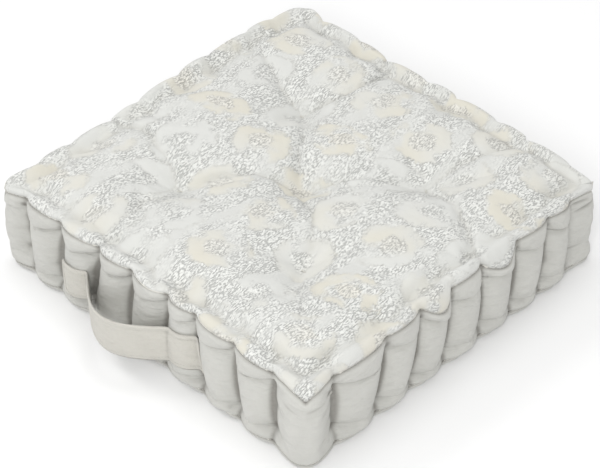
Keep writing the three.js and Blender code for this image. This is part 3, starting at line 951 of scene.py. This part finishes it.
def twine_body(tree, line, sizes):
    """A round twine along the line, closed at its ends."""
    profile = tree.nodes.new("GeometryNodeCurvePrimitiveCircle")
    profile.inputs["Resolution"].default_value = 8
    sweep = tree.nodes.new("GeometryNodeCurveToMesh")
    sweep.inputs["Fill Caps"].default_value = True
    pairs = (
        (line, sweep.inputs["Curve"]),
        (sizes["Radius"], profile.inputs["Radius"]),
        (profile.outputs[0], sweep.inputs["Profile Curve"]),
    )
    link_all(tree, pairs)
    return sweep.outputs[0]


def stitching(name, thread_name, spread=1.0, thickness=1.0):
    """A node tree that sews stitches in a thread of its own, and its measures."""
    size = sizes()
    radius = size.thread * thickness
    measures = {"Pitch": size.pitch * spread, "Length": size.stitch * spread, "Radius": radius}
    thread = twisted_finish(thread_name, colours().thread, THREAD_PLY)
    return sewing_tree(name, measures, thread, stitch_body), measures


def twining(name, twine_name):
    """A node tree that runs twine of its own, and its measures."""
    measures = {"Radius": sizes().twine}
    twine = twisted_finish(twine_name, colours().twine, TWINE_PLY)
    return sewing_tree(name, measures, twine, twine_body), measures


def sewn(name, lines, tree, measures, closed=False):
    """A piece grown by a node tree along lines of points in metres."""
    points, edges = [], []
    for line in lines:
        first = len(points)
        points.extend(tuple(spot) for spot in line)
        edges.extend((first + i, first + i + 1) for i in range(len(line) - 1))
        if closed:
            edges.append((len(points) - 1, first))
    mesh = bpy.data.meshes.new(name)
    mesh.from_pydata(points, edges, [])
    piece = bpy.data.objects.new(name, mesh)
    bpy.context.scene.collection.objects.link(piece)
    growth = piece.modifiers.new("Sewing", "NODES")
    growth.node_group = tree
    for item in tree.interface.items_tree:
        if item.in_out == "INPUT" and item.name in measures:
            growth[item.identifier] = measures[item.name]
    return baked(piece)


# ---- The strap ----
STRAP = {}  # its middle surface: "points" and "normals" as (station, row, 3)


def eased_grid(values, reach):
    """A grid of numbers blurred along both ways."""
    weights = np.exp(-(np.arange(-3 * reach, 3 * reach + 1) ** 2) / (2 * reach**2))
    weights /= weights.sum()
    for axis in (0, 1):
        pad = [(3 * reach, 3 * reach) if axis == a else (0, 0) for a in (0, 1)]
        padded = np.pad(values, pad, "edge")
        values = np.apply_along_axis(lambda row: np.convolve(row, weights, "valid"), axis, padded)
    return values


def strap_surface(bow):
    """The strap's middle surface in millimetres, its outward normals, and its stations' distances."""
    start, end = LEFT_TAB[0][0] + TAB_OVERHANG, RIGHT_TAB[1][0] - TAB_OVERHANG
    x = np.linspace(start, end, STRAP_COLUMNS)
    w = np.linspace(-STRAP_WIDTH / 2, STRAP_WIDTH / 2, STRAP_ROWS)
    px = x[:, None] - w[None, :] * STRAP_RISE
    pz = STRAP_Z + (x[:, None] - STRAP_MIDDLE) * STRAP_RISE + w[None, :]
    face = [on_surface((a * MM, BEFORE, b * MM), (0, 1, 0))[1] / MM for a, b in zip(px.ravel(), pz.ravel())]
    hits = np.array(face).reshape(px.shape)
    close = eased_grid(np.minimum(eased_grid(hits, 3), hits), 2)
    lying = np.minimum(eased_grid(hits, 5), close) - STRAP_HALF - TAB_GAP
    wave = (x - STRAP_MIDDLE) / STRAP_CHORD
    loop = STRAP_PLANE - bow * np.cos(np.pi * np.clip(wave, -0.75, 0.75))
    y = -np.logaddexp(-loop[:, None] / JOIN, -lying / JOIN) * JOIN
    middle = y[:, STRAP_ROWS // 2]
    travel = np.concatenate([[0], np.cumsum(np.hypot(np.diff(x), np.diff(middle)))])
    stations = np.linspace(0, travel[-1], int(travel[-1] / STRAP_STEP))
    grid = np.stack([px, y, pz], -1)
    rows = [[np.interp(stations, travel, grid[:, j, k]) for k in range(3)] for j in range(STRAP_ROWS)]
    points = np.array(rows).transpose(2, 0, 1)
    normals = np.cross(np.gradient(points, axis=0), np.gradient(points, axis=1))
    normals /= np.linalg.norm(normals, axis=-1, keepdims=True)
    return points, np.where(normals[..., 1:2] > 0, -normals, normals), stations


def on_strap(station, row, lift):
    """A point on the strap's face, in metres, from fractional places in its grid."""
    points, normals = STRAP["points"], STRAP["normals"]
    station = np.clip(station, 0, points.shape[0] - 1.001)
    row = np.clip(row, 0, points.shape[1] - 1.001)
    i, j = int(station), int(row)
    a, b = station - i, row - j
    weights = ((0, 0, (1 - a) * (1 - b)), (1, 0, a * (1 - b)), (0, 1, (1 - a) * b), (1, 1, a * b))
    spot = sum(points[i + m, j + n] * weight for m, n, weight in weights)
    normal = sum(normals[i + m, j + n] * weight for m, n, weight in weights)
    return (spot + normal * lift) * MM


def station_at(x):
    middle = STRAP["points"][:, STRAP_ROWS // 2, 0]
    return float(np.interp(x, middle, np.arange(len(middle))))


def row_at(across):
    return (across / STRAP_WIDTH + 0.5) * (STRAP_ROWS - 1)


# ---- Sizes and colours that a user would change ----
def length_property(name, description, size):
    return bpy.props.FloatProperty(name=name, description=description, default=size * MM, unit="LENGTH")


class CushionSizes(bpy.types.PropertyGroup):
    """Sizes of the cushion's sewn details."""

    cloth: length_property("Cloth", "Thickness of the top cloth", 1.6)
    canvas: length_property("Canvas", "Thickness of the canvas", 1.0)
    seam_depth: length_property("Seam depth", "How far a seam draws the cloth in", 2.2)
    seam_width: length_property("Seam width", "Reach of the seam's hollow", 2.6)
    bow: length_property("Strap bow", "How far the strap stands off the side", STRAP_BOW)
    twine: length_property("Twine", "Radius of the tying twine", 0.7)
    thread: length_property("Thread", "Radius of the sewing thread", 0.42)
    stitch: length_property("Stitch", "Visible length of a stitch", 2.5)
    pitch: length_property("Stitch pitch", "Distance between two stitches", 3.3)


def colour_property(name, description, default):
    return bpy.props.FloatVectorProperty(
        name=name, description=description, subtype="COLOR", size=4, min=0, max=1, default=default
    )


class CushionColours(bpy.types.PropertyGroup):
    """Colours of the cushion's cloths and threads."""

    ground: colour_property("Ground", "Loose strands of the top cloth", (0.668, 0.672, 0.645, 1.0))
    ring: colour_property("Rings", "Smooth rings of the top cloth", (0.665, 0.64, 0.555, 1.0))
    strands: colour_property("Ring centres", "Strands inside the rings", (0.66, 0.645, 0.59, 1.0))
    canvas: colour_property("Canvas", "Band and base", (0.6, 0.6, 0.568, 1.0))
    strap: colour_property("Strap", "Carrying strap", (0.6, 0.585, 0.535, 1.0))
    twine: colour_property("Twine", "Ties and side stitches", (0.64, 0.63, 0.58, 1.0))
    thread: colour_property("Thread", "Seams and topstitching", (0.64, 0.63, 0.58, 1.0))
    wadding: colour_property("Wadding", "Filling", (0.8, 0.78, 0.72, 1.0))
    floor: colour_property("Floor", "Studio floor", (0.9, 0.9, 0.9, 1.0))


def sizes():
    return bpy.context.scene.cushion_sizes


def colours():
    return bpy.context.scene.cushion_colours


def split_panel(case, number, name, material, thickness):
    """One panel of the case as its own closed cloth."""
    mesh = case.data
    mine = pulled(mesh.attributes["panel"].data, "value", 1, np.int32) == number
    loops = pulled(mesh.loops, "vertex_index", 1, np.int32).reshape(-1, 4)
    used, faces = np.unique(loops[mine], return_inverse=True)
    flat = pulled(mesh.uv_layers["cloth"].data, "uv", 2).reshape(-1, 4, 2)
    piece = mesh_object(name, read_points(mesh)[used], faces.reshape(-1, 4), flat[mine])
    mark_hollows(piece.data, pulled(mesh.attributes["hollow"].data, "value")[used])
    wall = piece.modifiers.new("Cloth", "SOLIDIFY")
    wall.thickness = thickness
    wall.offset = -1
    return dress(piece, material)


class CUSHION_OT_stage(bpy.types.Operator):
    """Lay the floor, hang the lights and set the camera"""

    bl_idname = "cushion.stage"
    bl_label = "Stage"

    def execute(self, context):
        scene = context.scene
        corners = [(x * FLOOR_REACH, y * FLOOR_REACH, 0) for x, y in ((-1, -1), (1, -1), (1, 1), (-1, 1))]
        floor = dress(mesh_object("Floor", corners, [(0, 1, 2, 3)]), floor_finish("Floor", colours().floor))

        world = bpy.data.worlds.new("Studio")
        world.use_nodes = True
        world.node_tree.nodes["Background"].inputs["Color"].default_value = (1.0, 1.0, 1.0, 1.0)
        world.node_tree.nodes["Background"].inputs["Strength"].default_value = WORLD_LIGHT
        scene.world = world

        for name, place, size, power in LAMPS:
            lamp = bpy.data.lights.new(name, "AREA")
            lamp.shape = "DISK"
            lamp.size = size
            lamp.energy = power
            holder = bpy.data.objects.new(name, lamp)
            holder.location = place
            holder.rotation_euler = (Vector(AIM) - Vector(place)).to_track_quat("-Z", "Y").to_euler()
            scene.collection.objects.link(holder)

        azimuth, elevation = math.radians(CAMERA_AZIMUTH), math.radians(CAMERA_ELEVATION)
        level = math.cos(elevation)
        away = Vector((math.sin(azimuth) * level, -math.cos(azimuth) * level, math.sin(elevation)))
        lens = bpy.data.cameras.new("Camera")
        lens.lens = LENS
        lens.sensor_width = SENSOR
        lens.shift_x, lens.shift_y = LENS_SHIFT
        camera = bpy.data.objects.new("Camera", lens)
        camera.location = Vector(AIM) + away * CAMERA_DISTANCE
        camera.rotation_euler = (-away).to_track_quat("-Z", "Y").to_euler()
        scene.collection.objects.link(camera)
        scene.camera = camera
        scene.view_settings.view_transform = "Standard"
        return {"FINISHED"}


class CUSHION_OT_case(bpy.types.Operator):
    """Sew the case, fill it, and part it into its top, band and base"""

    bl_idname = "cushion.case"
    bl_label = "Case and filling"

    def execute(self, context):
        size, colour = sizes(), colours()
        points, faces, cloth, panels, grids = case_form()
        case = mesh_object("Case", to_frame(points), faces, np.asarray(cloth) * MM)
        panel = case.data.attributes.new("panel", "INT", "FACE")
        panel.data.foreach_set("value", panels.astype(np.int32))
        write_points(case.data, fill_case(case, held_points(points, grids)))

        wadding = case.copy()
        wadding.name = "Filling"
        wadding.data = case.data.copy()
        context.scene.collection.objects.link(wadding)
        inner = read_points(wadding.data) - read_normals(wadding.data) * WADDING_GAP * MM
        write_points(wadding.data, inner)
        dress(wadding, wadding_finish("Wadding", colour.wadding))
        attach(wadding, "root")
        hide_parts("filling")

        finer = case.modifiers.new("Finer", "SUBSURF")
        finer.levels = finer.render_levels = 1
        baked(case)
        shaped = read_points(case.data)
        for ring in (UPPER_SEAM, LOWER_SEAM):
            shaped = sewn_in(shaped, read_normals(case.data), ring, size.seam_depth, size.seam_width)
        write_points(case.data, shaped)
        mark_hollows(case.data, hollows(case.data))
        remember_form(case)

        canvas = canvas_finish("Canvas", colour.canvas)
        top = jacquard_finish("Jacquard", colour.ground, colour.ring, colour.strands)
        for number, name, material, thickness, node, slot, flat in (
            (0, "Top", top, size.cloth, "top_panel", "jacquard", (0.48, 0.48)),
            (1, "Band", canvas, size.canvas, "side_band", "canvas", (1.80, 0.12)),
            (2, "Base", canvas, size.canvas, "bottom_panel", "canvas", (0.47, 0.47)),
        ):
            piece = split_panel(case, number, name, material, thickness)
            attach(piece, "root")
            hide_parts(node)
        bpy.data.objects.remove(case)
        return {"FINISHED"}


def sewn_in(points, normals, ring, depth, width):
    """Draws one ring of the case inwards, as a seam does, and eases the cloth beside it after it."""
    line = points[ring * ROUND : (ring + 1) * ROUND]
    ahead = np.roll(line, -1, 0) - line
    dense = np.concatenate([line + ahead * k / SEAM_DENSITY for k in range(SEAM_DENSITY)])
    search = KDTree(len(dense))
    for index, spot in enumerate(dense):
        search.insert(spot, index)
    search.balance()
    shaped = points.copy()
    far = SEAM_FAR * width
    low, high = dense[:, 2].min() - far, dense[:, 2].max() + far
    for index in np.flatnonzero((points[:, 2] > low) & (points[:, 2] < high)):
        away = search.find(points[index])[2]
        shaped[index] = points[index] - normals[index] * depth * math.exp(-((away / width) ** 2))
    return shaped


class CUSHION_OT_seams(bpy.types.Operator):
    """Sew the band to the top and to the base"""

    bl_idname = "cushion.seams"
    bl_label = "Seams"

    def execute(self, context):
        tree, measures = stitching("Seam stitches", "Thread", spread=SEAM_SPREAD)
        for name, ring, node in (
            ("Top_Seam", UPPER_SEAM, "top_seam_thread"),
            ("Base_Seam", LOWER_SEAM, "bottom_seam_thread"),
        ):
            piece = sewn(name, [FORM["rings"][ring]], tree, measures, closed=True)
            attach(piece, "root")
            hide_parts(node)
        return {"FINISHED"}


class CUSHION_OT_side_twine(bpy.types.Operator):
    """Run the two rows of twine that quilt each side"""

    bl_idname = "cushion.side_twine"
    bl_label = "Side twine"

    def execute(self, context):
        tree, measures = twining("Side twine", "Twine")
        for side, side_name in enumerate(SIDES):
            lines = []
            for row in (UPPER_ROW, LOWER_ROW):
                line = []
                for column in range(1, COLUMNS + 1):
                    line.extend(side_stitch(row, side * CELLS + column * BULGE_CELLS, measures["Radius"]))
                lines.append(line)
            piece = sewn("Side_Twine_" + side_name.capitalize(), lines, tree, measures)
            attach(piece, "root")
            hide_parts("side_twine_" + side_name + "_upper", "side_twine_" + side_name + "_lower")
        return {"FINISHED"}


def side_stitch(row, place, radius):
    """One stitch across a column, with the twine diving in beside it."""
    ring = FORM["rings"][row]
    spot = ring[place % ROUND]
    ahead = ring[(place + 1) % ROUND] - ring[(place - 1) % ROUND]
    ahead /= np.linalg.norm(ahead)
    outward = np.append(outline(place // CELLS % 4, np.zeros(1), np.zeros(1))[1][0], 0.0)
    half = ((1.3, -STITCH_DIVE), (1.0, -2 * radius), (0.5, 1.2 * radius))
    offsets = [(-far, out) for far, out in half] + list(reversed(half))
    return [spot + ahead * STITCH_REACH * far + outward * out for far, out in offsets]


class CUSHION_OT_tuft_ties(bpy.types.Operator):
    """Tie the five tufts through the filling"""

    bl_idname = "cushion.tuft_ties"
    bl_label = "Tuft ties"

    def execute(self, context):
        tree, measures = twining("Tuft twine", "Tuft twine")
        for (x, y), name in zip(TUFTS, TUFT_NODES):
            piece = sewn("Tie_" + name.title(), [tie_line(x, y, measures["Radius"])], tree, measures)
            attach(piece, "root")
            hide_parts("tuft_tie_" + name)
        return {"FINISHED"}


def tie_line(x, y, radius):
    """The twine of one tuft: a stitch on top, two runs through the filling, and a knot with tails below."""
    spot = to_frame([[x, y, 0]])[0]
    top = on_surface((spot[0], spot[1], ABOVE), (0, 0, -1))[2]
    base = on_surface((spot[0], spot[1], BELOW), (0, 0, 1))[2]
    line = [(3.2, 2.2, base - 2 * radius), (1.8, 1.0, base - 3 * radius)]
    for step in range(KNOT_STEPS):
        angle = step / KNOT_STEPS * 2 * math.pi * KNOT_TURNS
        across, along = KNOT_REACH * math.cos(angle), KNOT_REACH * math.sin(angle) * KNOT_FLATTER
        line.append((across, along, base - 2.2 * radius - step * 0.04 * radius))
    rise = ((0.5, base - radius), (0.8, base + 3 * MM), (1.0, top - 3 * MM), (1.0, top - radius))
    over = (0.6, top + radius * 1.1)
    line += [(-far, 0, z) for far, z in (*rise, over)]
    line += [(far, 0, z) for far, z in (over, *reversed(rise))]
    line += [(0, -1.0, base - 3 * radius), (-2.6, -2.0, base - 2 * radius)]
    line = [(across * STITCH_REACH, along * STITCH_REACH, z) for across, along, z in line]
    turn = (x + y) * TIE_TURN
    cos, sin = math.cos(turn), math.sin(turn)
    return [(spot[0] + a * cos - b * sin, spot[1] + a * sin + b * cos, z) for a, b, z in line]


class CUSHION_OT_strap(bpy.types.Operator):
    """Cut the strap and lay its tabs on the band"""

    bl_idname = "cushion.strap"
    bl_label = "Strap"

    def execute(self, context):
        points, normals, stations = strap_surface(sizes().bow / MM)
        STRAP.update(points=points, normals=normals)
        count, rows = points.shape[:2]
        across = np.abs(np.linspace(-1, 1, rows))[None, :] * STRAP_WIDTH / 2
        ends = np.minimum(stations, stations[-1] - stations)[:, None]
        brink = np.minimum(STRAP_WIDTH / 2 - across, ends)
        round_off = np.sqrt(np.clip(1 - (1 - np.clip(brink / STRAP_HALF, 0, 1)) ** 2, 0, 1))
        sewn_line = np.exp(-(((brink - TOPSTITCH_INSET) / SEWN_WIDTH) ** 2)) * SEWN_DEPTH
        half = STRAP_HALF * round_off - np.where(brink > 1, sewn_line, 0)
        faces, cloth, solid = [], [], []
        number = -np.ones((2, count, rows), int)
        for face, sign in ((0, 1), (1, -1)):
            for i in range(count):
                for j in range(rows):
                    rim = i in (0, count - 1) or j in (0, rows - 1)
                    if face and rim:
                        number[1, i, j] = number[0, i, j]
                        continue
                    number[face, i, j] = len(solid)
                    solid.append(points[i, j] + normals[i, j] * sign * half[i, j])
            for i in range(count - 1):
                for j in range(rows - 1):
                    quad = [(i, j), (i, j + 1), (i + 1, j + 1), (i + 1, j)]
                    quad = quad if face == 0 else quad[::-1]
                    faces.append([number[face, a, b] for a, b in quad])
                    cloth.append([(stations[a], b / (rows - 1) * STRAP_WIDTH) for a, b in quad])
        piece = mesh_object("Strap", np.array(solid) * MM, faces, np.array(cloth) * MM)
        facing_out(piece)
        mark_hollows(piece.data, hollows(piece.data))
        dress(piece, canvas_finish("Strap canvas", colours().strap, STRAP_WEAVE))
        ride_strap(piece)
        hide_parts("strap_end_left", "strap_loop", "strap_end_right")
        return {"FINISHED"}


def facing_out(piece):
    """Turns every face of a closed piece outwards."""
    form = bmesh.new()
    form.from_mesh(piece.data)
    bmesh.ops.recalc_face_normals(form, faces=form.faces)
    form.to_mesh(piece.data)
    form.free()


def ride_strap(piece):
    """Bakes the piece's placement into its points."""
    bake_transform(piece)


class CUSHION_OT_topstitch(bpy.types.Operator):
    """Topstitch the strap along both edges"""

    bl_idname = "cushion.topstitch"
    bl_label = "Topstitching"

    def execute(self, context):
        tree, measures = stitching("Topstitches", "Strap thread")
        count = len(STRAP["points"])
        far = STRAP_WIDTH / 2 - TOPSTITCH_INSET
        inset = TOPSTITCH_INSET / STRAP_STEP
        last = count - 1 - inset
        corners = [(inset, -far), (last, -far), (last, far), (inset, far), (inset, -far)]
        lift = STRAP_HALF - TOPSTITCH_SINK
        lines = [strap_line(corners, lift), *inner_lines(far, -lift)]
        piece = sewn("Strap_Topstitch", lines, tree, measures)
        ride_strap(piece)
        return {"FINISHED"}


def inner_lines(far, lift):
    """Topstitching on the loop's inner face, clear of the tabs."""
    reach = STRAP_CHORD * STRAP_INNER
    start, end = station_at(STRAP_MIDDLE - reach), station_at(STRAP_MIDDLE + reach)
    return [strap_line([(start, across), (end, across)], lift) for across in (-far, far)]


def strap_line(corners, lift):
    """A line on the strap's face through corners given as station and distance across."""
    line = []
    for (s0, w0), (s1, w1) in zip(corners, corners[1:]):
        steps = max(int(max(abs(s1 - s0) * STRAP_STEP, abs(w1 - w0)) / STITCH_LINE_STEP), 2)
        for k in range(steps):
            share = k / steps
            line.append(on_strap(s0 + (s1 - s0) * share, row_at(w0 + (w1 - w0) * share), lift))
    line.append(on_strap(corners[-1][0], row_at(corners[-1][1]), lift))
    return line


class CUSHION_OT_box_stitch(bpy.types.Operator):
    """Sew both tabs down with a crossed box"""

    bl_idname = "cushion.box_stitch"
    bl_label = "Crossed boxes"

    def execute(self, context):
        tree, measures = stitching("Box stitches", "Box thread", thickness=BOX_THICKNESS)
        for side in ("left", "right"):
            node = "strap_stitch_" + side
            low, high = frame_box(node)
            start, end = station_at(low[0]), station_at(high[0])
            far = (high[2] - low[2]) / 2 - BOX_INSET
            box = [(start, -far), (end, -far), (end, far), (start, far), (start, -far), (end, far)]
            lift = STRAP_HALF - BOX_SINK
            lines = [strap_line(box, lift), strap_line([(start, far), (end, -far)], lift)]
            piece = sewn("Strap_Box_" + side.capitalize(), lines, tree, measures)
            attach(piece, "root")
            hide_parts(node)
        return {"FINISHED"}


STEPS = (
    CUSHION_OT_stage,
    CUSHION_OT_case,
    CUSHION_OT_seams,
    CUSHION_OT_side_twine,
    CUSHION_OT_tuft_ties,
    CUSHION_OT_strap,
    CUSHION_OT_topstitch,
    CUSHION_OT_box_stitch,
)


class CUSHION_PT_pieces(bpy.types.Panel):
    """The cushion's pieces, sizes and colours"""

    bl_label = "Floor cushion"
    bl_idname = "CUSHION_PT_pieces"
    bl_space_type = "VIEW_3D"
    bl_region_type = "UI"
    bl_category = "Cushion"

    def draw(self, context):
        for group in (context.scene.cushion_sizes, context.scene.cushion_colours):
            for name in group.__annotations__:
                self.layout.prop(group, name)
        for step in STEPS:
            self.layout.operator(step.bl_idname)


CLASSES = (CushionSizes, CushionColours, *STEPS, CUSHION_PT_pieces)


def register():
    for kind in CLASSES:
        bpy.utils.register_class(kind)
    bpy.types.Scene.cushion_sizes = bpy.props.PointerProperty(type=CushionSizes)
    bpy.types.Scene.cushion_colours = bpy.props.PointerProperty(type=CushionColours)


def unregister():
    del bpy.types.Scene.cushion_colours
    del bpy.types.Scene.cushion_sizes
    for kind in reversed(CLASSES):
        bpy.utils.unregister_class(kind)


def main():
    register()
    for step in STEPS:
        group, name = step.bl_idname.split(".")
        getattr(getattr(bpy.ops, group), name)()


if __name__ == "__main__":
    main()
